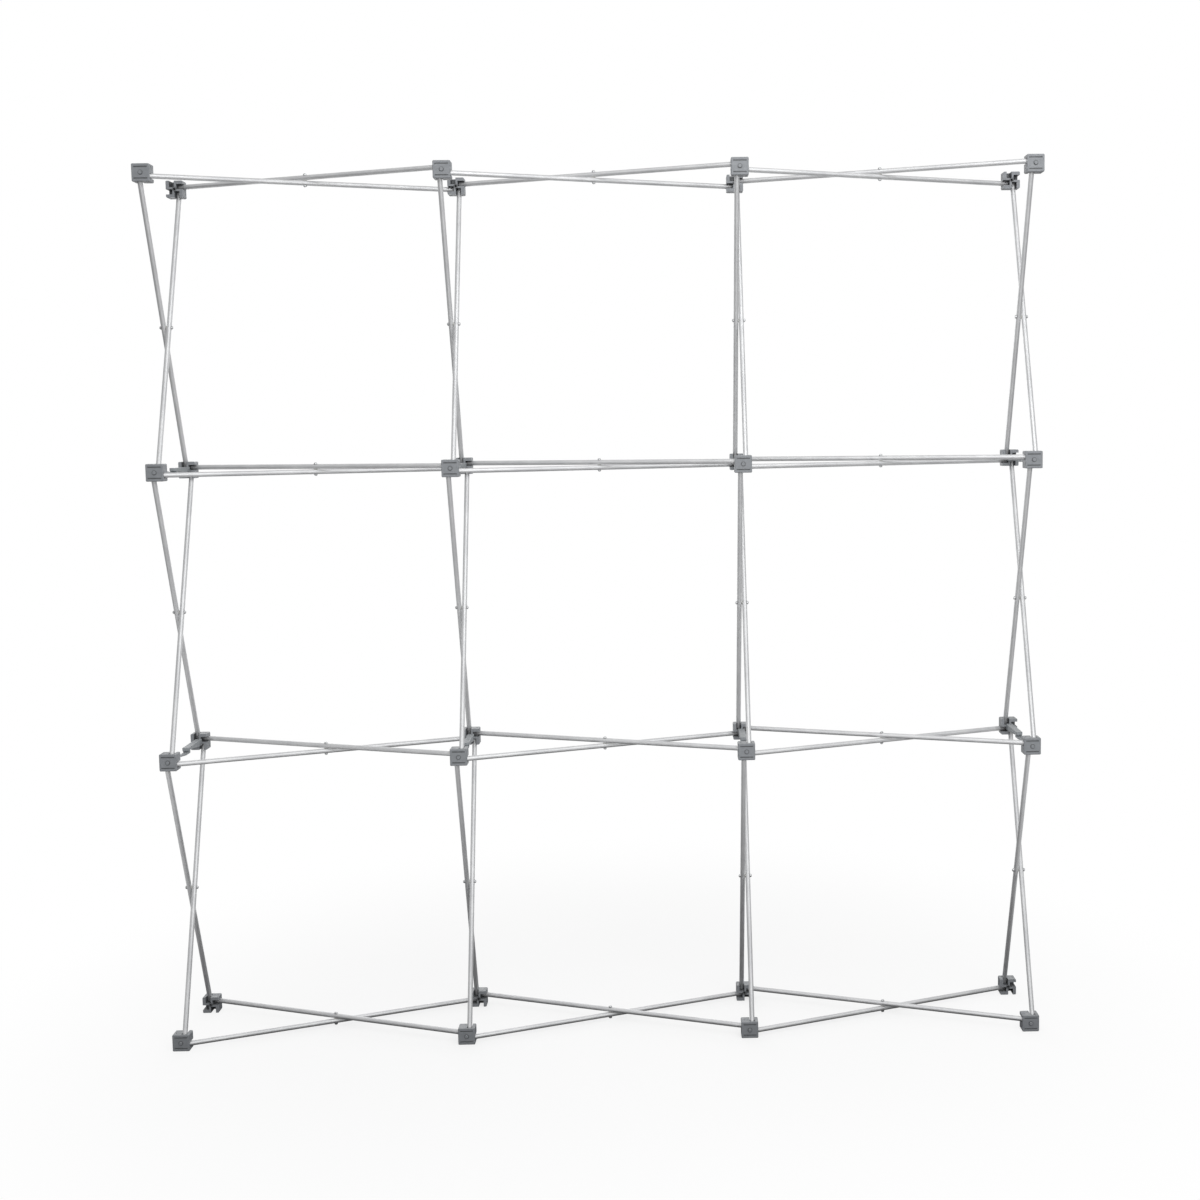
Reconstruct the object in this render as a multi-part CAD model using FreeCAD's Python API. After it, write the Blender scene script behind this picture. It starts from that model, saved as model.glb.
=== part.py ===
"""Pop-up display wall frame, opened out and locked: scissor pairs of aluminium tube between moulded hubs.

+X is to the right as seen from the front, +Y runs from front to back, +Z is up.
The origin is on the floor under the middle of the frame. All sizes are in millimetres.
"""
import FreeCAD, Part
import math
import os

V = FreeCAD.Vector
X_AXIS = V(1, 0, 0)
Y_AXIS = V(0, 1, 0)
Z_AXIS = V(0, 0, 1)
ORIGIN = V(0, 0, 0)

# Layout of the frame: hub rows are counted from the top, columns from the left
bays = 3
pitch = 737.0
frame_depth = 290.0

# Moulded hub
hub_size = 44.0
hub_depth = 32.0
hub_corner = 3.0
hub_chamfer = 1.5
groove_length = 34.0
groove_width = 3.0
groove_depth = 1.5
groove_offset = 14.0
boss_diameter = 9.0
boss_height = 3.0
boss_chamfer = 0.8
centre_hole_diameter = 6.0
centre_hole_depth = 12.0

# Scissor tube
tube_diameter = 12.7
tube_wall = 1.0
tube_gap = 1.0
tube_overhang = 7.0

# Where a tube is pinned in its hub
pivot_offset = 15.0
pivot_depth = 14.0
slot_clearance = 0.3
swing_clearance = 0.5
pin_diameter = 4.0
pin_engagement = 4.0
pin_recess = 0.5
pin_fit = 0.05
turning_fit = 0.1

# Rivet and washer where two tubes cross
rivet_diameter = 4.0
rivet_head_diameter = 9.0
rivet_crown_diameter = 6.0
rivet_rim = 1.5
rivet_head_height = 4.5
rivet_seat_gap = 0.05
washer_diameter = 10.0
washer_gap = 0.1

# Lock between a back hub and its front hub
lock_width = 17.0
plate_thickness = 4.0
plate_corner = 2.0
spigot_length = 8.0
spigot_clearance = 0.1
catch_width = 13.0
catch_thickness = 4.5
catch_drop = 8.5
catch_reach = 126.0
crank_rise = 11.0
crank_reach = 94.0
nose_length = 8.0
nose_height = 4.0
nose_ramp = 3.0
hook_thickness = 7.5
hook_gap = 0.3
lip_length = 6.0
lip_gap = 0.4
tab_length = 7.0
tab_lift = 0.7
tab_corner = 4.0
root_drop = 8.8
root_length = 70.0
hinge_standoff = 6.8
hinge_rise = 2.0
ear_thickness = 3.5
ear_radius = 6.0
ear_side_gap = 0.3
ear_end_gap = 0.8
knuckle_radius = 5.5
hinge_pin_diameter = 4.0

# One overrun serves every cut that has to break through a face
overrun = 1.0
same_place = 0.001

# Worked out from the sizes above
count = bays + 1
locked_rows = range(2, count)
hub_half = hub_size / 2
tube_radius = tube_diameter / 2
plane_offset = (tube_diameter + tube_gap) / 2
pivot_y = frame_depth / 2 - pivot_depth
span_along = pitch - 2 * pivot_offset
span_across = 2 * pivot_y
tube_centres = math.hypot(span_along, span_across)
tube_angle = math.degrees(math.atan2(span_across, span_along))
swing_radius = math.hypot(tube_overhang, tube_radius) + swing_clearance
slot_width = tube_diameter + 2 * slot_clearance
inner_face = frame_depth / 2 - hub_depth


def column_x(column):
    return (column - 1 - bays / 2) * pitch


def row_z(row):
    return hub_half + (count - row) * pitch


def turned(shape, axis, angle):
    copy = shape.copy()
    copy.rotate(ORIGIN, axis, angle)
    return copy


def moved(shape, place):
    copy = shape.copy()
    copy.translate(place)
    return copy


def block(x_low, x_high, y_low, y_high, z_low, z_high):
    return Part.makeBox(x_high - x_low, y_high - y_low, z_high - z_low, V(x_low, y_low, z_low))


def centred_cylinder(diameter, length, centre, axis):
    return Part.makeCylinder(diameter / 2, length, centre - axis * (length / 2), axis)


def prism(wire, width, axis):
    """A closed wire thickened by width, half to each side of its own plane."""
    face = Part.Face(wire)
    face.translate(axis * (-width / 2))
    return face.extrude(axis * width)


# Hub: every one is the same moulding, with its outer face at Y = 0 and four slots in a pinwheel

def slot_profile():
    """The slot for the right-hand tube, seen along Z, with a round floor that the tube's end swings over."""
    start = pivot_offset - swing_radius
    floor = pivot_depth - swing_radius
    side = hub_half + overrun
    top = hub_depth + overrun
    diagonal = swing_radius / math.sqrt(2)
    bottom_arc = Part.Arc(
        V(start, pivot_depth, 0),
        V(pivot_offset - diagonal, pivot_depth - diagonal, 0),
        V(pivot_offset, floor, 0),
    )
    corners = [V(pivot_offset, floor, 0), V(side, floor, 0), V(side, top, 0), V(start, top, 0)]
    corners.append(V(start, pivot_depth, 0))
    lines = [Part.LineSegment(a, b).toShape() for a, b in zip(corners, corners[1:])]
    return Part.Wire([bottom_arc.toShape()] + lines)


def arm_pin(diameter, outer_end):
    """A pin across the slot of the right-hand tube, or its hole, pressed in from the hub's side face."""
    inner_end = slot_width / 2 + pin_engagement - plane_offset
    start = V(pivot_offset, pivot_depth, -outer_end)
    return Part.makeCylinder(diameter / 2, inner_end + outer_end, start, Z_AXIS)


def four_arms(shape):
    """A shape made for the right-hand arm, then turned to the top, left and bottom arms."""
    return [turned(shape, Y_AXIS, -90 * quarter) for quarter in range(4)]


def groove(z):
    """A shallow slot with round ends across the outer face."""
    half = (groove_length - groove_width) / 2
    bar = block(-half, half, -overrun, groove_depth, z - groove_width / 2, z + groove_width / 2)
    ends = [
        Part.makeCylinder(groove_width / 2, groove_depth + overrun, V(x, -overrun, z), Y_AXIS) for x in (-half, half)
    ]
    return bar.fuse(ends)


def hub():
    body = block(-hub_half, hub_half, 0, hub_depth, -hub_half, hub_half)
    corner_edges = [e for e in body.Edges if e.BoundBox.YLength > hub_depth / 2]
    body = body.makeFillet(hub_corner, corner_edges)
    outer_edges = [e for e in body.Edges if e.BoundBox.YMax < same_place]
    body = body.makeChamfer(hub_chamfer, outer_edges)
    boss = Part.makeCylinder(boss_diameter / 2, boss_height + overrun, V(0, -boss_height, 0), Y_AXIS)
    boss_rim = [e for e in boss.Edges if e.BoundBox.YMax < same_place - boss_height]
    body = body.fuse(boss.makeChamfer(boss_chamfer, boss_rim))
    slot = moved(prism(slot_profile(), slot_width, Z_AXIS), V(0, 0, -plane_offset))
    hole = Part.makeCylinder(
        centre_hole_diameter / 2, centre_hole_depth + overrun, V(0, hub_depth - centre_hole_depth, 0), Y_AXIS
    )
    grooves = [groove(-groove_offset), groove(groove_offset)]
    pin_holes = four_arms(arm_pin(pin_diameter + 2 * pin_fit, hub_half + overrun))
    return body.cut(four_arms(slot) + pin_holes + grooves + [hole]).removeSplitter()


def at_hub(shape, front, column, row):
    """A shape made on the hub's own frame, put on one hub. A back hub faces the other way."""
    placed = shape if front else turned(shape, Z_AXIS, 180)
    side = -1 if front else 1
    return moved(placed, V(column_x(column), side * frame_depth / 2, row_z(row)))


def pins_of(front, column, row):
    """The pins of one hub: one for each arm that has a neighbour to reach."""
    right, top, left, bottom = four_arms(arm_pin(pin_diameter, hub_half - pin_recess))
    if not front:
        right, left = left, right
    wanted = [(right, column < count), (top, row > 1), (left, column > 1), (bottom, row < count)]
    return [at_hub(pin, front, column, row) for pin, used in wanted if used]


# Scissor pair: two tubes that cross at a rivet, made lying level with the crossing at the origin

def tube():
    length = tube_centres + 2 * tube_overhang
    body = centred_cylinder(tube_diameter, length, ORIGIN, X_AXIS)
    bore = centred_cylinder(tube_diameter - 2 * tube_wall, length + 2 * overrun, ORIGIN, X_AXIS)
    across = tube_diameter + 2 * overrun
    cuts = [bore]
    for place in (-tube_centres / 2, tube_centres / 2):
        cuts.append(centred_cylinder(pin_diameter + 2 * turning_fit, across, V(place, 0, 0), Z_AXIS))
    cuts.append(centred_cylinder(rivet_diameter + 2 * turning_fit, across, ORIGIN, Z_AXIS))
    return body.cut(cuts)


def scissor_tubes(plain):
    """The lower tube runs from front left to back right, the upper one from back left to front right."""
    lower = moved(turned(plain, Z_AXIS, tube_angle), V(0, 0, -plane_offset))
    upper = moved(turned(plain, Z_AXIS, -tube_angle), V(0, 0, plane_offset))
    return [lower, upper]


def rivet():
    shank = rivet_diameter / 2
    head = rivet_head_diameter / 2
    crown = rivet_crown_diameter / 2
    seat = plane_offset + tube_radius + rivet_seat_gap
    rim = seat + rivet_rim
    top = seat + rivet_head_height
    half = [V(shank, 0, seat), V(head, 0, seat), V(head, 0, rim), V(crown, 0, top), V(0, 0, top)]
    other_half = [V(point.x, 0, -point.z) for point in reversed(half)]
    outline = Part.makePolygon(half + other_half + half[:1])
    return Part.Face(outline).revolve(ORIGIN, Z_AXIS, 360)


def washer():
    thickness = tube_gap - 2 * washer_gap
    disc = centred_cylinder(washer_diameter, thickness, ORIGIN, Z_AXIS)
    hole = centred_cylinder(rivet_diameter + 2 * turning_fit, thickness + 2 * overrun, ORIGIN, Z_AXIS)
    return disc.cut(hole)


def level_at(shape, bay, row):
    """A scissor shape between two hubs of one row."""
    return moved(shape, V(column_x(bay) + pitch / 2, 0, row_z(row)))


def upright_at(shape, column, bay):
    """A scissor shape between two hubs of one column, the level one turned up on end."""
    return moved(turned(shape, Y_AXIS, -90), V(column_x(column), 0, row_z(bay) - pitch / 2))


# Lock: a hook hinged on the back hub drops over the nose of a catch on the front hub

hinge_y = inner_face - plate_thickness - hinge_standoff
hinge_z = hinge_rise
catch_top = catch_thickness - catch_drop
catch_end = plate_thickness + catch_reach - inner_face
hook_under = catch_top + nose_height + hook_gap
hook_top = hook_under + hook_thickness
spigot_diameter = centre_hole_diameter - 2 * spigot_clearance


def mounting_plate():
    """The square foot of a lock piece with its spigot, seated on the inner face of a front hub."""
    half = lock_width / 2
    plate = block(-half, half, -inner_face, plate_thickness - inner_face, -half, half)
    plate = plate.makeFillet(plate_corner, [e for e in plate.Edges if e.BoundBox.YLength > plate_thickness / 2])
    spigot = Part.makeCylinder(
        spigot_diameter / 2, spigot_length + overrun, V(0, -inner_face - spigot_length, 0), Y_AXIS
    )
    return plate.fuse(spigot)


def lock_catch():
    """The lower arm, cranked down to pass under the hook, with a nose whose ramp lifts it as the frame opens."""
    root = plate_thickness - inner_face
    crank = root + crank_reach
    nose_start = catch_end - nose_length
    nose_top = catch_top + nose_height
    side_view = [
        V(0, root - overrun, crank_rise - catch_drop), V(0, root, crank_rise - catch_drop),
        V(0, crank, -catch_drop), V(0, catch_end, -catch_drop), V(0, catch_end, nose_top - nose_ramp),
        V(0, catch_end - nose_ramp, nose_top), V(0, nose_start, nose_top), V(0, nose_start, catch_top),
        V(0, crank, catch_top), V(0, root, crank_rise + catch_top), V(0, root - overrun, crank_rise + catch_top),
    ]
    arm = prism(Part.makePolygon(side_view + side_view[:1]), catch_width, X_AXIS)
    return mounting_plate().fuse(arm).removeSplitter()


def lock_bracket():
    half = lock_width / 2
    foot = turned(mounting_plate(), Z_AXIS, 180)
    ears = []
    for inside in (-half, half - ear_thickness):
        outside = inside + ear_thickness
        web_back = inner_face - plate_thickness + overrun
        ears.append(block(inside, outside, hinge_y, web_back, hinge_z - ear_radius, hinge_z + ear_radius))
        ears.append(Part.makeCylinder(ear_radius, ear_thickness, V(inside, hinge_y, hinge_z), X_AXIS))
    hole = centred_cylinder(
        hinge_pin_diameter + 2 * pin_fit, lock_width + 2 * overrun, V(0, hinge_y, hinge_z), X_AXIS
    )
    return foot.fuse(ears).cut(hole).removeSplitter()


def lock_pin():
    return centred_cylinder(hinge_pin_diameter, lock_width, V(0, hinge_y, hinge_z), X_AXIS)


def lock_hook():
    """The upper arm, deep at its root, with a lip that drops behind the nose and a thumb tab past the lip."""
    knuckle_width = lock_width - 2 * (ear_thickness + ear_side_gap)
    arm_back = hinge_y - ear_radius - ear_end_gap
    lip_back = catch_end - nose_length - lip_gap
    lip_front = lip_back - lip_length
    lip_bottom = catch_top + hook_gap
    tab_end = lip_front - tab_length
    side_view = [
        V(0, arm_back, hook_under - root_drop), V(0, arm_back - root_length, hook_under),
        V(0, lip_back, hook_under), V(0, lip_back, lip_bottom),
        V(0, lip_front, lip_bottom), V(0, lip_front, hook_under), V(0, tab_end, hook_under + tab_lift),
        V(0, tab_end, hook_top + tab_lift), V(0, lip_front, hook_top), V(0, arm_back, hook_top),
    ]
    arm = prism(Part.makePolygon(side_view + side_view[:1]), lock_width, X_AXIS)
    tip_edges = [
        e for e in arm.Edges if e.BoundBox.YMax < tab_end + same_place and e.BoundBox.ZLength > hook_thickness / 2
    ]
    arm = arm.makeFillet(tab_corner, tip_edges)
    half = knuckle_width / 2
    link = block(-half, half, arm_back - overrun, hinge_y, hook_under, hook_top)
    knuckle = centred_cylinder(2 * knuckle_radius, knuckle_width, V(0, hinge_y, hinge_z), X_AXIS)
    hole = centred_cylinder(
        hinge_pin_diameter + 2 * turning_fit, lock_width + 2 * overrun, V(0, hinge_y, hinge_z), X_AXIS
    )
    return arm.fuse([link, knuckle]).cut(hole).removeSplitter()


def at_lock(shape, column, row):
    return moved(shape, V(column_x(column), 0, row_z(row)))


# Writing the pieces out

def save(name, *solids):
    shape = solids[0] if len(solids) == 1 else Part.makeCompound(list(solids))
    shape.exportStep(os.path.join("parts", name + ".step"))


os.makedirs("parts", exist_ok=True)
columns = range(1, count + 1)
rows = range(1, count + 1)
spans = range(1, bays + 1)
sides = {"front": True, "back": False}

one_hub = hub()
hub_pins = []
for side, front in sides.items():
    for row in rows:
        for column in columns:
            save(f"{side}_hub_row{row}_column{column}", at_hub(one_hub, front, column, row))
            hub_pins += pins_of(front, column, row)
save("hub_pins", *hub_pins)

pair = scissor_tubes(tube())
for row in rows:
    save(f"row{row}_tubes", *[level_at(one, bay, row) for bay in spans for one in pair])
for column in columns:
    save(f"column{column}_tubes", *[upright_at(one, column, bay) for bay in spans for one in pair])

one_rivet = rivet()
one_washer = washer()
level_places = [(bay, row) for row in rows for bay in spans]
upright_places = [(column, bay) for column in columns for bay in spans]
save("row_rivets", *[level_at(one_rivet, *place) for place in level_places])
save("column_rivets", *[upright_at(one_rivet, *place) for place in upright_places])
save("row_washers", *[level_at(one_washer, *place) for place in level_places])
save("column_washers", *[upright_at(one_washer, *place) for place in upright_places])

lock_places = [(column, row) for row in locked_rows for column in columns]
one_hook = lock_hook()
for column, row in lock_places:
    save(f"lock_hook_row{row}_column{column}", at_lock(one_hook, column, row))
save("lock_catches", *[at_lock(lock_catch(), *place) for place in lock_places])
save("lock_brackets", *[at_lock(lock_bracket(), *place) for place in lock_places])
save("lock_hinge_pins", *[at_lock(lock_pin(), *place) for place in lock_places])

print("tube centres", round(tube_centres, 2), "at", round(tube_angle, 2), "degrees to the frame")
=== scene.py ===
"""Looks of the pop-up display wall frame, built around its fixed solids. Sizes are in metres.

+X is to the right as seen from the front, +Y runs from front to back, +Z is up.
Hub rows are counted from the top, columns from the left.
"""
import math

import bmesh
import bpy
from mathutils import Matrix, Vector


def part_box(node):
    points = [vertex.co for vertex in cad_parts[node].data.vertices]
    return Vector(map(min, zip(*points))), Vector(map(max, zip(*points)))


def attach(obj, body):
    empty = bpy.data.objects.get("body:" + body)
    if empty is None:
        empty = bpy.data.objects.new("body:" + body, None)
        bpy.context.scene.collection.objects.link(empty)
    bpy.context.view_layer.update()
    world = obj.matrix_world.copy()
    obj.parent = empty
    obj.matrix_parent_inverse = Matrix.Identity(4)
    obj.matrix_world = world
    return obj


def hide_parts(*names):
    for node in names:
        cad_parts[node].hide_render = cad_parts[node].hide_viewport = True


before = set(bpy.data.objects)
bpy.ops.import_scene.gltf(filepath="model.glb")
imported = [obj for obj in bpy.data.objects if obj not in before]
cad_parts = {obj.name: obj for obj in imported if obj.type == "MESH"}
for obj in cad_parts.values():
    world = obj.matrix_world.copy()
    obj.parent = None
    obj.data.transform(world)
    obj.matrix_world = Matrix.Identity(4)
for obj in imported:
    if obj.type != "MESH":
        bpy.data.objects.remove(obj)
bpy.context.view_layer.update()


# Hubs: one moulding in grey filled nylon, used 32 times, with a pinwheel of four slots in its inner face.
# Sixteen stand in front with their grooved faces out, and sixteen behind, the same moulding turned round.
# The solids have the whole shape, so they keep it and get the moulded finish, rubbed paler on the edges, with
# painted shade in the slots and holes and a painted shadow round the boss.
bays = 3
rows = columns = range(1, bays + 2)
hub_low, hub_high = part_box("front_hub_row4_column1")
hub_half = (hub_high.x - hub_low.x) / 2
left_x = (hub_high.x + hub_low.x) / 2
pitch = -2 * left_x / bays
middle_height = hub_half + pitch * bays / 2
hub_inner_y = hub_high.y
hub_outer_y = -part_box("back_hub_row1_column1")[1].y
hub_boss_height = 0.003
hub_boss_radius = 0.0045
hub_grain_size = 0.0007
grain_height = 0.0002
plastic_smoothest = 0.48
plastic_roughest = 0.62
# A dusting on faces that look up, partly painted top light that makes those faces paler.
dust_and_top_light_share = 0.55
edge_rub_width = 0.0016
rub_patches_per_metre = 260.0
# Painted shade inside the hub and a painted shadow round its boss: how dark, and where each starts and ends.
painted_shade_share = 0.65
slot_shade_from = -0.0003
slot_shade_to = -0.0016
boss_shadow_from = hub_boss_radius + 0.0004
boss_shadow_to = hub_boss_radius + 0.0028
boss_shadow_height = 0.0008
boss_unshaded_height = 0.0024
hub_grey = (0.232, 0.243, 0.258, 1)
hub_mottle = (0.206, 0.217, 0.231, 1)
hub_dust_and_top_light = (0.4, 0.41, 0.41, 1)
hub_rubbed = (0.34, 0.36, 0.37, 1)
# The near-black of the painted shade and the painted shadow.
hub_painted_shade = (0.035, 0.037, 0.038, 1)


def new_material(name):
    """A material with its nodes, and a Principled shader ready to be wired."""
    material = bpy.data.materials.new(name)
    material.use_nodes = True
    tree = material.node_tree
    return material, tree, tree.nodes["Principled BSDF"]


def add(tree, kind, **settings):
    """A node with its settings. A key that names an input, with underscores for spaces, sets that input."""
    node = tree.nodes.new(kind)
    for key, value in settings.items():
        socket = node.inputs.get(key.replace("_", " "))
        if socket is not None and not hasattr(node, key):
            socket.default_value = value
        else:
            setattr(node, key, value)
    return node


def math_node(tree, operation, first, second=0.0):
    """One sum in a node tree. Either term is a socket or a number."""
    node = add(tree, "ShaderNodeMath", operation=operation)
    for socket, term in zip(node.inputs, (first, second)):
        if isinstance(term, (int, float)):
            socket.default_value = term
        else:
            tree.links.new(term, socket)
    return node.outputs[0]


def ramp(tree, value, low, high, to_low=0.0, to_high=1.0):
    """A smooth step of a value from one range to another, held at both ends."""
    node = add(tree, "ShaderNodeMapRange", interpolation_type="SMOOTHSTEP")
    tree.links.new(value, node.inputs["Value"])
    for name, number in (("From Min", low), ("From Max", high), ("To Min", to_low), ("To Max", to_high)):
        node.inputs[name].default_value = number
    return node.outputs["Result"]


def mixed(tree, share, first, second):
    """A colour between two, each a socket or a colour, by a share that varies over the surface."""
    node = add(tree, "ShaderNodeMix", data_type="RGBA")
    tree.links.new(share, node.inputs["Factor"])
    for socket, colour in ((node.inputs[6], first), (node.inputs[7], second)):
        if isinstance(colour, tuple):
            socket.default_value = colour
        else:
            tree.links.new(colour, socket)
    return node.outputs[2]


def moulded_grain():
    """The grain of spark-eroded mould steel on plastic: a fine height, and a slow mottle of the colour."""
    group = bpy.data.node_groups.new("moulded grain", "ShaderNodeTree")
    face = group.interface
    grain_size = face.new_socket("Grain Size", in_out="INPUT", socket_type="NodeSocketFloat")
    mottle_size = face.new_socket("Mottle Size", in_out="INPUT", socket_type="NodeSocketFloat")
    grain_size.default_value = 0.0006
    mottle_size.default_value = 0.012
    face.new_socket("Height", in_out="OUTPUT", socket_type="NodeSocketFloat")
    face.new_socket("Mottle", in_out="OUTPUT", socket_type="NodeSocketFloat")
    given = group.nodes.new("NodeGroupInput")
    put_out = group.nodes.new("NodeGroupOutput")
    place = group.nodes.new("ShaderNodeTexCoord").outputs["Object"]
    for size, name, detail in (("Grain Size", "Height", 2.0), ("Mottle Size", "Mottle", 4.0)):
        noise = add(group, "ShaderNodeTexNoise", Detail=detail, Roughness=0.6)
        group.links.new(place, noise.inputs["Vector"])
        group.links.new(math_node(group, "DIVIDE", 1.0, given.outputs[size]), noise.inputs["Scale"])
        group.links.new(noise.outputs["Fac"], put_out.inputs[name])
    return group


def dust_and_top_light_mask():
    """A dusting on faces that look up, partly painted top light that makes those faces paler: a mask, broken
    up by a slow noise.
    """
    group = bpy.data.node_groups.new("dust and painted top light", "ShaderNodeTree")
    face = group.interface
    patch_size = face.new_socket("Patch Size", in_out="INPUT", socket_type="NodeSocketFloat")
    patch_size.default_value = 0.02
    face.new_socket("Dust", in_out="OUTPUT", socket_type="NodeSocketFloat")
    given = group.nodes.new("NodeGroupInput")
    put_out = group.nodes.new("NodeGroupOutput")
    normal = add(group, "ShaderNodeSeparateXYZ")
    group.links.new(group.nodes.new("ShaderNodeNewGeometry").outputs["Normal"], normal.inputs[0])
    up = ramp(group, normal.outputs["Z"], 0.3, 0.95)
    noise = add(group, "ShaderNodeTexNoise", Detail=5.0, Roughness=0.65)
    group.links.new(group.nodes.new("ShaderNodeTexCoord").outputs["Object"], noise.inputs["Vector"])
    group.links.new(math_node(group, "DIVIDE", 1.0, given.outputs["Patch Size"]), noise.inputs["Scale"])
    patches = ramp(group, noise.outputs["Fac"], 0.3, 0.75)
    group.links.new(math_node(group, "MULTIPLY", up, patches), put_out.inputs["Dust"])
    return group


grain_group = moulded_grain()
dust_and_top_light_group = dust_and_top_light_mask()


def hub_depths(tree):
    """How deep a point lies in its hub: the middle and the least of its three depths under the hub's faces.

    The middle one is near zero along the edges, and the least one is so all over the outside. After them
    come the depth under the outer face alone, and the distance from the hub's axis, which its boss stands on.
    """
    wrapped = add(tree, "ShaderNodeVectorMath", operation="WRAP")
    tree.links.new(tree.nodes.new("ShaderNodeTexCoord").outputs["Object"], wrapped.inputs[0])
    first_edge = (left_x - pitch / 2, -pitch / 2, hub_half - pitch / 2)
    wrapped.inputs[1].default_value = [start + pitch for start in first_edge]
    wrapped.inputs[2].default_value = first_edge
    place = add(tree, "ShaderNodeSeparateXYZ")
    tree.links.new(wrapped.outputs[0], place.inputs[0])
    hub_depth_half = (hub_inner_y - hub_outer_y - hub_boss_height) / 2
    hub_middle_y = hub_inner_y - hub_depth_half
    depths = []
    squares = []
    for axis, middle, half in (("X", left_x, hub_half), ("Z", hub_half, hub_half)):
        offset = math_node(tree, "ABSOLUTE", math_node(tree, "SUBTRACT", place.outputs[axis], middle))
        depths.append(math_node(tree, "SUBTRACT", offset, half))
        squares.append(math_node(tree, "MULTIPLY", offset, offset))
    from_centre = math_node(tree, "ABSOLUTE", place.outputs["Y"])
    from_middle = math_node(tree, "SUBTRACT", from_centre, abs(hub_middle_y))
    depths.append(math_node(tree, "SUBTRACT", math_node(tree, "ABSOLUTE", from_middle), hub_depth_half))
    total = math_node(tree, "ADD", math_node(tree, "ADD", depths[0], depths[1]), depths[2])
    most = math_node(tree, "MAXIMUM", math_node(tree, "MAXIMUM", depths[0], depths[1]), depths[2])
    least = math_node(tree, "MINIMUM", math_node(tree, "MINIMUM", depths[0], depths[1]), depths[2])
    middle_one = math_node(tree, "SUBTRACT", math_node(tree, "SUBTRACT", total, most), least)
    from_axis = math_node(tree, "SQRT", math_node(tree, "ADD", squares[0], squares[1]))
    return middle_one, most, depths[2], from_axis


def grained_plastic(name, colour, mottled, dusty_and_lit, grain_size):
    """Moulded plastic with its grain, a mottled colour, and a dusting on top that is partly painted top light
    making those faces paler, before any wear is added.
    """
    material, tree, shader = new_material(name)
    grain = add(tree, "ShaderNodeGroup", node_tree=grain_group)
    grain.inputs["Grain Size"].default_value = grain_size
    dust_and_top_light = add(tree, "ShaderNodeGroup", node_tree=dust_and_top_light_group)
    base = mixed(tree, ramp(tree, grain.outputs["Mottle"], 0.3, 0.7), colour, mottled)
    # Partly a dusting, partly painted top light: faces that look up are made paler.
    base = mixed(tree, math_node(tree, "MULTIPLY", dust_and_top_light.outputs["Dust"], dust_and_top_light_share), base, dusty_and_lit)
    rough = ramp(tree, grain.outputs["Mottle"], 0.2, 0.8, plastic_smoothest, plastic_roughest)
    bump = add(tree, "ShaderNodeBump", Strength=0.15, Distance=grain_height)
    tree.links.new(grain.outputs["Height"], bump.inputs["Height"])
    tree.links.new(bump.outputs["Normal"], shader.inputs["Normal"])
    tree.links.new(base, shader.inputs["Base Color"])
    tree.links.new(rough, shader.inputs["Roughness"])
    return material, tree, shader, base


hub_plastic, tree, shader, base = grained_plastic(
    "hub plastic", hub_grey, hub_mottle, hub_dust_and_top_light, hub_grain_size
)
rub_noise = add(tree, "ShaderNodeTexNoise", Scale=rub_patches_per_metre, Detail=4.0, Roughness=0.7)
tree.links.new(tree.nodes.new("ShaderNodeTexCoord").outputs["Object"], rub_noise.inputs["Vector"])
from_edge, from_face, from_outer, from_axis = hub_depths(tree)
near_edge = ramp(tree, from_edge, -edge_rub_width, 0.0)
rub = math_node(tree, "MULTIPLY", near_edge, ramp(tree, rub_noise.outputs["Fac"], 0.35, 0.7))
base = mixed(tree, rub, base, hub_rubbed)
# Painted shade: surfaces inside the hub's box, its slot walls, holes and groove floors, are darkened towards
# near black.
painted_shade = ramp(tree, from_face, slot_shade_to, slot_shade_from, painted_shade_share, 0.0)
# Painted shadow: a dark ring on the outer face round the foot of the boss, fading out up its side.
boss_foot_shadow = ramp(tree, from_axis, boss_shadow_from, boss_shadow_to, painted_shade_share, 0.0)
low_on_boss = ramp(tree, from_outer, boss_shadow_height, boss_unshaded_height, 1.0, 0.0)
painted_shade = math_node(tree, "MAXIMUM", painted_shade, math_node(tree, "MULTIPLY", boss_foot_shadow, low_on_boss))
tree.links.new(mixed(tree, painted_shade, base, hub_painted_shade), shader.inputs["Base Color"])
for side in ("front", "back"):
    for row in rows:
        for column in columns:
            hub_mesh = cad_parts[f"{side}_hub_row{row}_column{column}"].data
            hub_mesh.materials.clear()
            hub_mesh.materials.append(hub_plastic)


# Scissor tubes: 48 lengths of drawn aluminium tube, satin anodised, cut square with their lips broken.
# Each pair crosses at half its length; level pairs join the hubs of a row, upright pairs those of a column.
# Each end turns on a pin in a hub's slot.
tube_diameter = 0.0127
tube_wall = 0.001
tube_gap = 0.001
tube_overhang = 0.007
tube_lip = 0.0003
tube_sides = 48
hole_diameter = 0.0042
hole_sides = 24
sharp_edge = math.radians(35)
rounded_edge = math.radians(40)
ring_from_hole = 0.005
pivot_offset = 0.015
pivot_depth = 0.014
pivot_y = -hub_outer_y - hub_boss_height - pivot_depth
plane_offset = (tube_diameter + tube_gap) / 2
tube_run = pitch - 2 * pivot_offset
tube_angle = math.atan2(2 * pivot_y, tube_run)
tube_length = math.hypot(tube_run, 2 * pivot_y) + 2 * tube_overhang
drawn_lines_per_metre = 900.0
drawn_line_squeeze = 0.004
drawn_line_height = 0.0001
tube_smoothest = 0.6
tube_roughest = 0.7
clouds_per_metre = 9.0
tube_silver = (0.76, 0.765, 0.77, 1)
tube_dull = (0.66, 0.665, 0.675, 1)
tube_line = (0.5, 0.505, 0.515, 1)


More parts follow.
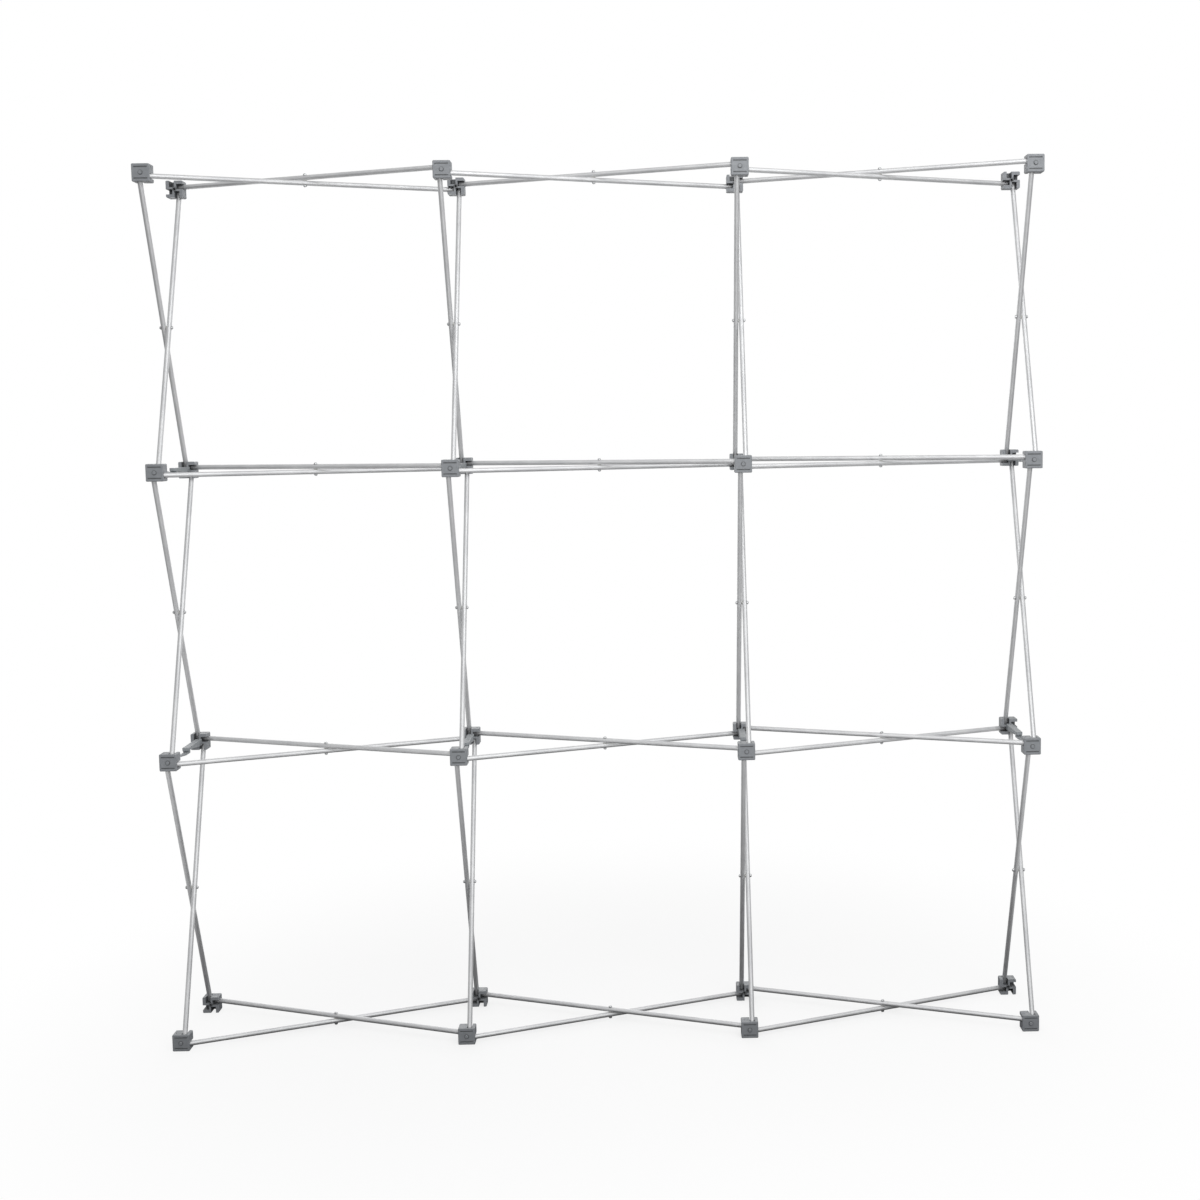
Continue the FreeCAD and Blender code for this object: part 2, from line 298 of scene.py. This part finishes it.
def lathe(outline, sides, closed):
    """A mesh turned about Z from an outline of (radius, height) points, welded where it meets the axis."""
    shape = bmesh.new()
    corners = [shape.verts.new((radius, 0, height)) for radius, height in outline]
    pairs = list(zip(corners, corners[1:]))
    if closed:
        pairs.append((corners[-1], corners[0]))
    edges = [shape.edges.new(pair) for pair in pairs]
    turned = {"cent": (0, 0, 0), "axis": (0, 0, 1), "angle": math.tau, "steps": sides}
    bmesh.ops.spin(shape, geom=corners + edges, use_merge=True, **turned)
    bmesh.ops.remove_doubles(shape, verts=shape.verts, dist=1e-6)
    bmesh.ops.recalc_face_normals(shape, faces=shape.faces)
    return shape


def rod(diameter, length, sides):
    """A plain round rod along Z, centred on the origin."""
    radius, half = diameter / 2, length / 2
    return lathe([(0, -half), (radius, -half), (radius, half), (0, half)], sides, closed=False)


def finished_mesh(shape, name):
    """A mesh from a bmesh, smooth but for its sharp edges."""
    mesh = bpy.data.meshes.new(name)
    for face in shape.faces:
        face.smooth = True
    shape.to_mesh(mesh)
    shape.free()
    mesh.set_sharp_from_angle(angle=sharp_edge)
    return mesh


def linked(name, mesh):
    """An object for a mesh, at the origin."""
    piece = bpy.data.objects.new(name, mesh)
    bpy.context.scene.collection.objects.link(piece)
    return piece


def moulded(name, solids, cuts, rounding):
    """One mesh from closed shapes that are joined, with holes cut and its sharp edges rounded."""
    body = linked(name, finished_mesh(solids[0], name))
    tools = []
    for shape, operation in [(s, "UNION") for s in solids[1:]] + [(c, "DIFFERENCE") for c in cuts]:
        tool = linked(f"{name}_tool", finished_mesh(shape, f"{name}_tool"))
        step = body.modifiers.new(operation, "BOOLEAN")
        step.operation = operation
        step.object = tool
        step.solver = "EXACT"
        tools.append(tool)
    if rounding:
        edges = body.modifiers.new("rounding", "BEVEL")
        edges.width = rounding
        edges.segments = 2
        edges.limit_method = "ANGLE"
        edges.angle_limit = rounded_edge
    mesh = bpy.data.meshes.new_from_object(body.evaluated_get(bpy.context.evaluated_depsgraph_get()))
    for used in [body] + tools:
        bpy.data.objects.remove(used)
    return mesh


def repeat_tree():
    """One piece set on every point of an upright grid of columns and rows, a pitch apart, turned as asked."""
    tree = bpy.data.node_groups.new("repeat on a grid", "GeometryNodeTree")
    face = tree.interface
    face.new_socket("Geometry", in_out="OUTPUT", socket_type="NodeSocketGeometry")
    for name, kind in (
        ("Piece", "Object"),
        ("Columns", "Int"),
        ("Rows", "Int"),
        ("Pitch", "Float"),
        ("Middle", "Vector"),
        ("Turn", "Rotation"),
        ("Finish", "Material"),
    ):
        face.new_socket(name, in_out="INPUT", socket_type=f"NodeSocket{kind}")
    given = tree.nodes.new("NodeGroupInput").outputs
    grid = tree.nodes.new("GeometryNodeMeshGrid")
    for count, size, vertices in (("Columns", "Size X", "Vertices X"), ("Rows", "Size Y", "Vertices Y")):
        steps = math_node(tree, "SUBTRACT", given[count], 1.0)
        tree.links.new(math_node(tree, "MULTIPLY", steps, given["Pitch"]), grid.inputs[size])
        tree.links.new(given[count], grid.inputs[vertices])
    stand = tree.nodes.new("GeometryNodeTransform")
    stand.inputs["Rotation"].default_value = (math.pi / 2, 0, 0)
    tree.links.new(grid.outputs["Mesh"], stand.inputs["Geometry"])
    tree.links.new(given["Middle"], stand.inputs["Translation"])
    piece = tree.nodes.new("GeometryNodeObjectInfo")
    tree.links.new(given["Piece"], piece.inputs["Object"])
    instances = tree.nodes.new("GeometryNodeInstanceOnPoints")
    tree.links.new(stand.outputs["Geometry"], instances.inputs["Points"])
    tree.links.new(piece.outputs["Geometry"], instances.inputs["Instance"])
    tree.links.new(given["Turn"], instances.inputs["Rotation"])
    realize = tree.nodes.new("GeometryNodeRealizeInstances")
    tree.links.new(instances.outputs["Instances"], realize.inputs["Geometry"])
    finish = tree.nodes.new("GeometryNodeSetMaterial")
    tree.links.new(realize.outputs["Geometry"], finish.inputs["Geometry"])
    tree.links.new(given["Finish"], finish.inputs["Material"])
    tree.links.new(finish.outputs["Geometry"], tree.nodes.new("NodeGroupOutput").inputs["Geometry"])
    return tree


repeat_group = repeat_tree()


def repeated(name, pattern, finish, sets):
    """One object with copies of the pattern mesh on each set's grid: (columns, rows, middle, turn) a set."""
    original = linked(f"{name}_pattern", pattern)
    shape = bmesh.new()
    for column_count, row_count, middle, turn in sets:
        carrier = linked(f"{name}_carrier", bpy.data.meshes.new(f"{name}_carrier"))
        modifier = carrier.modifiers.new("repeat", "NODES")
        modifier.node_group = repeat_group
        values = {
            "Piece": original,
            "Columns": column_count,
            "Rows": row_count,
            "Pitch": pitch,
            "Middle": middle,
            "Turn": turn,
            "Finish": finish,
        }
        for item in repeat_group.interface.items_tree:
            if item.in_out == "INPUT":
                modifier[item.identifier] = values[item.name]
        evaluated = carrier.evaluated_get(bpy.context.evaluated_depsgraph_get())
        plain = bpy.data.meshes.new_from_object(evaluated)
        shape.from_mesh(plain)
        carrier.modifiers.remove(modifier)
        bpy.data.objects.remove(carrier)
        bpy.data.meshes.remove(plain)
    bpy.data.objects.remove(original)
    mesh = finished_mesh(shape, name)
    mesh.materials.append(finish)
    return linked(name, mesh)


def drilled_tube():
    """One tube along Z, with its pin holes near the ends and its rivet hole at the middle."""
    radius, bore = tube_diameter / 2, tube_diameter / 2 - tube_wall
    end = tube_length / 2
    holes = (tube_overhang - end, 0.0, end - tube_overhang)
    lips = [(bore, end - tube_lip), (bore + tube_lip, end)]
    lips += [(radius - tube_lip, end), (radius, end - tube_lip)]
    rings = [hole + side * ring_from_hole for hole in holes for side in (-1, 1)]
    outline = [(r, -z) for r, z in lips] + [(radius, z) for z in rings]
    outline += list(reversed(lips)) + [(bore, z) for z in reversed(rings)]
    drills = []
    for hole in holes:
        drill = rod(hole_diameter, tube_diameter, hole_sides)
        drill.transform(Matrix.Translation((0, 0, hole)) @ Matrix.Rotation(math.pi / 2, 4, "Y"))
        drills.append(drill)
    return moulded("drilled tube", [lathe(outline, tube_sides, closed=True)], drills, rounding=0)


def tube_pair():
    """The two tubes of one crossing, lying level, each with its own length kept for the drawn grain."""
    one_tube = drilled_tube()
    pair = bmesh.new()
    for side in (-1, 1):
        one = bmesh.new()
        one.from_mesh(one_tube)
        along = one.verts.layers.float_vector.new("tube place")
        for vertex in one.verts:
            vertex[along] = vertex.co + Vector((0, 0, side * tube_length))
        turn = Matrix.Rotation(-side * tube_angle, 4, "Z") @ Matrix.Rotation(math.pi / 2, 4, "Y")
        one.transform(Matrix.Translation((0, 0, side * plane_offset)) @ turn)
        mesh = bpy.data.meshes.new("one tube")
        one.to_mesh(mesh)
        one.free()
        pair.from_mesh(mesh)
        bpy.data.meshes.remove(mesh)
    return finished_mesh(pair, "tube pair")


tube_aluminium, tree, shader = new_material("satin aluminium")
shader.inputs["Metallic"].default_value = 1.0
place = add(tree, "ShaderNodeAttribute", attribute_name="tube place").outputs["Vector"]
drawn = add(tree, "ShaderNodeMapping", Scale=(1.0, 1.0, drawn_line_squeeze))
tree.links.new(place, drawn.inputs["Vector"])
streaks = add(tree, "ShaderNodeTexNoise", Scale=drawn_lines_per_metre, Detail=3.0, Roughness=0.6)
tree.links.new(drawn.outputs["Vector"], streaks.inputs["Vector"])
clouds = add(tree, "ShaderNodeTexNoise", Scale=clouds_per_metre, Detail=4.0, Roughness=0.6)
tree.links.new(place, clouds.inputs["Vector"])
tone = mixed(tree, ramp(tree, clouds.outputs["Fac"], 0.3, 0.7), tube_silver, tube_dull)
tone = mixed(tree, ramp(tree, streaks.outputs["Fac"], 0.48, 0.72, 0.0, 0.6), tone, tube_line)
tree.links.new(tone, shader.inputs["Base Color"])
rough = ramp(tree, streaks.outputs["Fac"], 0.2, 0.8, tube_smoothest, tube_roughest)
tree.links.new(rough, shader.inputs["Roughness"])
bump = add(tree, "ShaderNodeBump", Strength=0.015, Distance=drawn_line_height)
tree.links.new(streaks.outputs["Fac"], bump.inputs["Height"])
tree.links.new(bump.outputs["Normal"], shader.inputs["Normal"])

level = (0.0, 0.0, 0.0)
upright = (0.0, -math.pi / 2, 0.0)
frame_middle = (0.0, 0.0, middle_height)
level_crossings = (bays, len(rows), frame_middle, level)
upright_crossings = (len(columns), bays, frame_middle, upright)
for name, crossings, nodes in (
    ("level_tubes", level_crossings, [f"row{row}_tubes" for row in rows]),
    ("upright_tubes", upright_crossings, [f"column{column}_tubes" for column in columns]),
):
    tubes = repeated(name, tube_pair(), tube_aluminium, [crossings])
    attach(tubes, "frame")
    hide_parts(*nodes)


# Crossing washers: a thin disc of white nylon between the two tubes of each pair.
# It is punched from sheet, and the rivet through the crossing holds it, so only its rim shows.
washer_diameter = 0.010
washer_thickness = 0.0008
washer_bore = 0.0042
washer_round = 0.0002
washer_sides = 32
washer_white = (0.7, 0.7, 0.67, 1)
washer_cream = (0.62, 0.61, 0.57, 1)

washer_nylon, tree, shader = new_material("washer nylon")
grain = add(tree, "ShaderNodeGroup", node_tree=grain_group)
tone = mixed(tree, ramp(tree, grain.outputs["Mottle"], 0.3, 0.7), washer_white, washer_cream)
tree.links.new(tone, shader.inputs["Base Color"])
tree.links.new(ramp(tree, grain.outputs["Mottle"], 0.2, 0.8, 0.42, 0.55), shader.inputs["Roughness"])


def washer():
    """One washer about Z, with its outer edges broken."""
    rim, bore, half = washer_diameter / 2, washer_bore / 2, washer_thickness / 2
    outline = [(bore, -half), (rim - washer_round, -half), (rim, -half + washer_round)]
    outline += [(radius, -height) for radius, height in reversed(outline)]
    return finished_mesh(lathe(outline, washer_sides, closed=True), "washer")


washers = repeated("crossing_washers", washer(), washer_nylon, [level_crossings, upright_crossings])
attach(washers, "frame")
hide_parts("row_washers", "column_washers")


# Crossing rivets: one aluminium rivet through both tubes at each crossing, with a domed head on each side.
# The head stands off the round of the tube and is a little brighter where the tool has pressed it.
rivet_diameter = 0.004
rivet_head_diameter = 0.009
rivet_rim = 0.0012
rivet_head_height = 0.0045
rivet_clearance = 0.00005
rivet_seat = plane_offset + tube_diameter / 2 + rivet_clearance
rivet_sides = 28
dome_steps = 7
pressing_marks_per_metre = 900.0
rivet_bright = (0.66, 0.665, 0.67, 1)
rivet_dull = (0.52, 0.53, 0.54, 1)


def rivet():
    """One rivet about Z: its shank and a domed head at each end."""
    shank, head = rivet_diameter / 2, rivet_head_diameter / 2
    half = [(shank, rivet_seat), (head, rivet_seat), (head, rivet_seat + rivet_rim)]
    rise = rivet_head_height - rivet_rim
    for step in range(1, dome_steps + 1):
        turn = step / dome_steps * math.pi / 2
        half.append((head * math.cos(turn), rivet_seat + rivet_rim + rise * math.sin(turn)))
    outline = [(radius, -height) for radius, height in reversed(half)] + half
    return finished_mesh(lathe(outline, rivet_sides, closed=False), "rivet")


rivet_metal, tree, shader = new_material("rivet metal")
shader.inputs["Metallic"].default_value = 1.0
place = tree.nodes.new("ShaderNodeTexCoord").outputs["Object"]
pressed = add(tree, "ShaderNodeTexNoise", Scale=pressing_marks_per_metre, Detail=3.0)
tree.links.new(place, pressed.inputs["Vector"])
tone = mixed(tree, ramp(tree, pressed.outputs["Fac"], 0.3, 0.7), rivet_bright, rivet_dull)
tree.links.new(tone, shader.inputs["Base Color"])
tree.links.new(ramp(tree, pressed.outputs["Fac"], 0.2, 0.8, 0.26, 0.42), shader.inputs["Roughness"])
rivets = repeated("crossing_rivets", rivet(), rivet_metal, [level_crossings, upright_crossings])
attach(rivets, "frame")
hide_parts("row_rivets", "column_rivets")


# Hub pins: 96 short ground steel pins, each pressed in from a hub's side face, through a tube's end.
# Only the chamfered outer end shows, half a millimetre down its hole.
pin_diameter = 0.004
pin_recess = 0.0005
pin_chamfer = 0.0003
pin_sides = 24
pin_engagement = 0.004
slot_play = 0.0006
slot_width = tube_diameter + slot_play
pin_inner = slot_width / 2 + pin_engagement - plane_offset
pin_outer = hub_half - pin_recess
grinding_marks_per_metre = 2000.0
pin_bright = (0.48, 0.48, 0.49, 1)
pin_dark = (0.38, 0.38, 0.39, 1)


def hub_pin():
    """One hub pin about Z, with both ends chamfered."""
    radius = pin_diameter / 2
    outline = [(0, -pin_outer), (radius - pin_chamfer, -pin_outer), (radius, -pin_outer + pin_chamfer)]
    outline += [(radius, pin_inner - pin_chamfer), (radius - pin_chamfer, pin_inner), (0, pin_inner)]
    return finished_mesh(lathe(outline, pin_sides, closed=False), "hub pin")


pin_steel, tree, shader = new_material("pin steel")
shader.inputs["Metallic"].default_value = 1.0
place = tree.nodes.new("ShaderNodeTexCoord").outputs["Object"]
ground = add(tree, "ShaderNodeTexNoise", Scale=grinding_marks_per_metre, Detail=2.0)
tree.links.new(place, ground.inputs["Vector"])
tone = mixed(tree, ground.outputs["Fac"], pin_bright, pin_dark)
tree.links.new(tone, shader.inputs["Base Color"])
tree.links.new(ramp(tree, ground.outputs["Fac"], 0.2, 0.8, 0.22, 0.38), shader.inputs["Roughness"])

pin_sets = []
for side in (-1, 1):
    for quarter in range(4):
        turn = -quarter * math.pi / 2
        reach = Matrix.Rotation(turn, 3, "Y") @ Vector((pivot_offset, 0, 0))
        short_of = Matrix.Rotation(turn, 3, "Y") @ Vector((pitch / 2, 0, 0))
        middle = Vector(frame_middle) + Vector((0, side * pivot_y, 0)) + reach - short_of
        counts = (bays, len(rows)) if quarter % 2 == 0 else (len(columns), bays)
        flip = math.pi if side > 0 else 0.0
        pin_turn = (Matrix.Rotation(turn, 4, "Y") @ Matrix.Rotation(flip, 4, "X")).to_euler()
        pin_sets.append((*counts, tuple(middle), tuple(pin_turn)))
pins = repeated("hub_pins_ground", hub_pin(), pin_steel, pin_sets)
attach(pins, "frame")
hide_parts("hub_pins")


# Lock catches: on each front hub of the two middle rows, a foot that plugs into the hub's centre hole.
# From it an arm cranked downwards runs back to a nose that the hook drops over. One moulding in grey nylon.
lock_width = 0.017
lock_inner_face = hub_inner_y
foot_thickness = 0.004
foot_corner = 0.002
foot_corner_steps = 6
spigot_diameter = 0.0058
spigot_length = 0.008
spigot_sides = 32
catch_width = 0.013
catch_thickness = 0.0045
catch_drop = 0.0085
catch_reach = 0.126
crank_rise = 0.011
crank_reach = 0.094
nose_length = 0.008
nose_height = 0.004
nose_ramp = 0.003
lock_rounding = 0.0004
lock_overlap = 0.001
locked_rows = rows[1:-1]
lock_places = (len(columns), len(locked_rows), frame_middle, level)
lock_grain_size = 0.0005
lock_grey = (0.27, 0.288, 0.302, 1)
lock_mottle = (0.245, 0.262, 0.276, 1)
lock_dust_and_top_light = (0.42, 0.43, 0.43, 1)


def prism(outline, low, high, axis):
    """A closed prism on an outline: of (y, z) points drawn along X, or of (x, z) points drawn along Y."""
    shape = bmesh.new()
    ends = []
    for depth in (low, high):
        points = [(depth, a, b) if axis == "X" else (a, depth, b) for a, b in outline]
        ends.append([shape.verts.new(point) for point in points])
    shape.faces.new(ends[0])
    shape.faces.new(ends[1])
    for this, after in zip(range(len(outline)), list(range(1, len(outline))) + [0]):
        shape.faces.new((ends[0][this], ends[0][after], ends[1][after], ends[1][this]))
    bmesh.ops.recalc_face_normals(shape, faces=shape.faces)
    return shape


def arc(centre, radius, start, turn, steps):
    """Points of an arc about a centre, with angles in degrees."""
    angles = [math.radians(start + turn * step / steps) for step in range(steps + 1)]
    return [(centre[0] + radius * math.cos(angle), centre[1] + radius * math.sin(angle)) for angle in angles]


def lock_foot(inner_face):
    """The square foot on a hub's inner face, and the spigot in the hub's centre hole."""
    flat = lock_width / 2 - foot_corner
    side = math.copysign(1, inner_face)
    outline = []
    for quarter, (x, z) in enumerate(((flat, flat), (-flat, flat), (-flat, -flat), (flat, -flat))):
        outline += arc((x, z), foot_corner, 90 * quarter, 90, foot_corner_steps)
    plate = prism(outline, inner_face - side * foot_thickness, inner_face, "Y")
    spigot = rod(spigot_diameter, spigot_length + lock_overlap, spigot_sides)
    middle = inner_face + side * (spigot_length - lock_overlap) / 2
    spigot.transform(Matrix.Translation((0, middle, 0)) @ Matrix.Rotation(math.pi / 2, 4, "X"))
    return [plate, spigot]


def catch():
    """One catch, drawn from the side, with the middle of its hub's row at zero height."""
    root = lock_inner_face + foot_thickness
    end = root + catch_reach
    crank = root + crank_reach
    top = catch_thickness - catch_drop
    nose_top = top + nose_height
    underside = [
        (root - lock_overlap, crank_rise - catch_drop),
        (root, crank_rise - catch_drop),
        (crank, -catch_drop),
        (end, -catch_drop),
    ]
    nose = [
        (end, nose_top - nose_ramp),
        (end - nose_ramp, nose_top),
        (end - nose_length, nose_top),
        (end - nose_length, top),
    ]
    upper_side = [(crank, top), (root, crank_rise + top), (root - lock_overlap, crank_rise + top)]
    arm = prism(underside + nose + upper_side, -catch_width / 2, catch_width / 2, "X")
    return moulded("catch", lock_foot(lock_inner_face) + [arm], [], lock_rounding)


lock_plastic, *_ = grained_plastic("lock plastic", lock_grey, lock_mottle, lock_dust_and_top_light, lock_grain_size)
catches = repeated("lock_catches_moulded", catch(), lock_plastic, [lock_places])
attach(catches, "frame")
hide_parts("lock_catches")


# Lock brackets and hinge pins: a foot with two ears on each back hub of the same rows, in the same nylon.
# A ground steel pin is pressed through both ears, flush with them, and the hook turns on it.
hinge_standoff = 0.0068
hinge_y = -lock_inner_face - foot_thickness - hinge_standoff
hinge_z = 0.002
ear_radius = 0.006
ear_thickness = 0.0035
ear_steps = 24
hinge_pin_diameter = 0.004
hinge_pin_fit = 0.0001
hinge_pin_sides = 32


def across(shape):
    """A rod laid across a lock, on its hinge."""
    shape.transform(Matrix.Translation((0, hinge_y, hinge_z)) @ Matrix.Rotation(math.pi / 2, 4, "Y"))
    return shape


def bracket():
    """One bracket: its foot, and two ears with the pin's hole through them."""
    back = -lock_inner_face - foot_thickness + lock_overlap
    ear_view = arc((hinge_y, hinge_z), ear_radius, 90, 180, ear_steps)
    ear_view += [(back, hinge_z - ear_radius), (back, hinge_z + ear_radius)]
    ears = []
    for inside in (-lock_width / 2, lock_width / 2 - ear_thickness):
        ears.append(prism(ear_view, inside, inside + ear_thickness, "X"))
    hole = across(rod(hinge_pin_diameter + hinge_pin_fit, 2 * lock_width, hinge_pin_sides))
    return moulded("bracket", lock_foot(-lock_inner_face) + ears, [hole], lock_rounding)


brackets = repeated("lock_brackets_moulded", bracket(), lock_plastic, [lock_places])
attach(brackets, "frame")
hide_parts("lock_brackets")


def hinge_pin():
    """One hinge pin across a lock, with both ends chamfered."""
    radius, half = hinge_pin_diameter / 2, lock_width / 2
    outline = [(0, -half), (radius - pin_chamfer, -half), (radius, pin_chamfer - half)]
    outline += [(r, -z) for r, z in reversed(outline)]
    return finished_mesh(across(lathe(outline, hinge_pin_sides, closed=False)), "hinge pin")


hinge_pins = repeated("lock_hinge_pins_ground", hinge_pin(), pin_steel, [lock_places])
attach(hinge_pins, "frame")
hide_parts("lock_hinge_pins")


# Lock hooks: the long arm that swings on the hinge pin and drops its lip behind the catch's nose.
# Each is a moulding that the solids have in full, so they keep it and get the same plastic.
for row in locked_rows:
    for column in columns:
        hook_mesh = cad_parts[f"lock_hook_row{row}_column{column}"].data
        hook_mesh.materials.clear()
        hook_mesh.materials.append(lock_plastic)


# Stage: a plain pale floor that runs out into a white backdrop, in a room that is dimmer low down.
# A camera sees both white, and metal sees them so behind the frame and far out on the floor.
# A strip of floor under the frame gives back little light, which leaves the lowest tubes dark underneath.
floor_radius = 2.6
floor_sides = 96
floor_pale = (0.85, 0.85, 0.85, 1)
floor_grey = (0.6, 0.6, 0.6, 1)
strip_dark = (0.04, 0.04, 0.042, 1)
strip_squeeze = (0.8, 2.0, 1.0)
strip_edge = 0.9
strip_end = 1.9
whitening_start = 0.6
whitening_end = 1.9
whitening_least = 0.72
room_dim = 0.1
room_light = 0.62
room_dim_below = -0.5
room_light_above = 0.15
backdrop_full = 0.7


def reflected_rays(tree, rays):
    """One for a ray that comes by way of gloss or glass, and nought for others."""
    return math_node(tree, "ADD", rays.outputs["Is Glossy Ray"], rays.outputs["Is Transmission Ray"])


floor_mesh = finished_mesh(lathe([(0, 0), (floor_radius, 0)], floor_sides, closed=False), "floor")
floor = linked("floor", floor_mesh)
floor_paper, tree, shader = new_material("floor paper")
shader.inputs["Roughness"].default_value = 0.9
place = tree.nodes.new("ShaderNodeTexCoord").outputs["Object"]
from_middle = add(tree, "ShaderNodeVectorMath", operation="LENGTH")
tree.links.new(place, from_middle.inputs[0])
strip = add(tree, "ShaderNodeMapping", Scale=strip_squeeze)
tree.links.new(place, strip.inputs["Vector"])
from_strip = add(tree, "ShaderNodeVectorMath", operation="LENGTH")
tree.links.new(strip.outputs["Vector"], from_strip.inputs[0])
outside = ramp(tree, from_strip.outputs["Value"], strip_edge, strip_end)
whitened = ramp(tree, from_middle.outputs["Value"], whitening_start, whitening_end, whitening_least, 1.0)
rays = tree.nodes.new("ShaderNodeLightPath")
to_camera = rays.outputs["Is Camera Ray"]
paper = mixed(tree, to_camera, mixed(tree, outside, strip_dark, floor_grey), floor_pale)
tree.links.new(paper, shader.inputs["Base Color"])
in_metal = math_node(tree, "MULTIPLY", reflected_rays(tree, rays), outside)
shown = math_node(tree, "MAXIMUM", to_camera, in_metal)
backdrop_white = add(tree, "ShaderNodeEmission", Strength=1.0)
to_white = tree.nodes.new("ShaderNodeMixShader")
tree.links.new(math_node(tree, "MULTIPLY", whitened, shown), to_white.inputs["Fac"])
tree.links.new(shader.outputs["BSDF"], to_white.inputs[1])
tree.links.new(backdrop_white.outputs["Emission"], to_white.inputs[2])
tree.links.new(to_white.outputs["Shader"], tree.nodes["Material Output"].inputs["Surface"])
floor_mesh.materials.append(floor_paper)

world = bpy.data.worlds.new("white room")
world.use_nodes = True
bpy.context.scene.world = world
tree = world.node_tree
background = tree.nodes["Background"]
background.inputs["Color"].default_value = (1, 1, 1, 1)
rays = tree.nodes.new("ShaderNodeLightPath")
direction = add(tree, "ShaderNodeSeparateXYZ")
tree.links.new(tree.nodes.new("ShaderNodeTexCoord").outputs["Generated"], direction.inputs[0])
room = ramp(tree, direction.outputs["Z"], room_dim_below, room_light_above, room_dim, room_light)
behind = ramp(tree, direction.outputs["Y"], 0.0, backdrop_full)
in_metal = math_node(tree, "MULTIPLY", behind, reflected_rays(tree, rays))
room = math_node(tree, "MAXIMUM", room, in_metal)
tree.links.new(math_node(tree, "MAXIMUM", rays.outputs["Is Camera Ray"], room), background.inputs["Strength"])

for name, place, aim, width, height, power in (
    ("key", (0.9, -3.1, 2.3), (0.2, 0, 1.4), 2.6, 2.0, 54),
    ("top", (0.7, -1.7, 3.4), (0.2, 0, 1.6), 3.0, 0.8, 24),
    ("fill", (-0.9, 3.4, 1.9), (0, 0, 1.2), 3.0, 2.0, 26),
):
    lamp = bpy.data.lights.new(name, "AREA")
    lamp.shape = "RECTANGLE"
    lamp.size = width
    lamp.size_y = height
    lamp.energy = power
    holder = bpy.data.objects.new(name, lamp)
    holder.location = place
    holder.rotation_euler = (Vector(aim) - Vector(place)).to_track_quat("-Z", "Y").to_euler()
    bpy.context.scene.collection.objects.link(holder)


# Camera: at a standing person's eye height, a little right of the middle, as the photograph was taken.
# Its place and turn were fitted to the hubs in the photograph, which is cropped a little off centre.
image_size = 1200
camera_focal_pixels = 1495.7
camera_place = (0.1623, -3.9186, 1.5843)
camera_yaw = math.radians(1.262)
camera_pitch = math.radians(-5.138)
camera_roll = math.radians(-0.832)
crop_across = -0.08
crop_up = -0.03
sensor_millimetres = 36.0
camera = bpy.data.cameras.new("photo camera")
camera.sensor_width = sensor_millimetres
camera.lens = camera_focal_pixels / image_size * sensor_millimetres
camera.shift_x = crop_across
camera.shift_y = crop_up
holder = bpy.data.objects.new("photo camera", camera)
aim = Matrix.Rotation(-camera_yaw, 4, "Z") @ Matrix.Rotation(math.pi / 2 + camera_pitch, 4, "X")
holder.matrix_world = Matrix.Translation(camera_place) @ aim @ Matrix.Rotation(camera_roll, 4, "Z")
bpy.context.scene.collection.objects.link(holder)
bpy.context.scene.camera = holder
bpy.context.scene.view_settings.view_transform = "Standard"
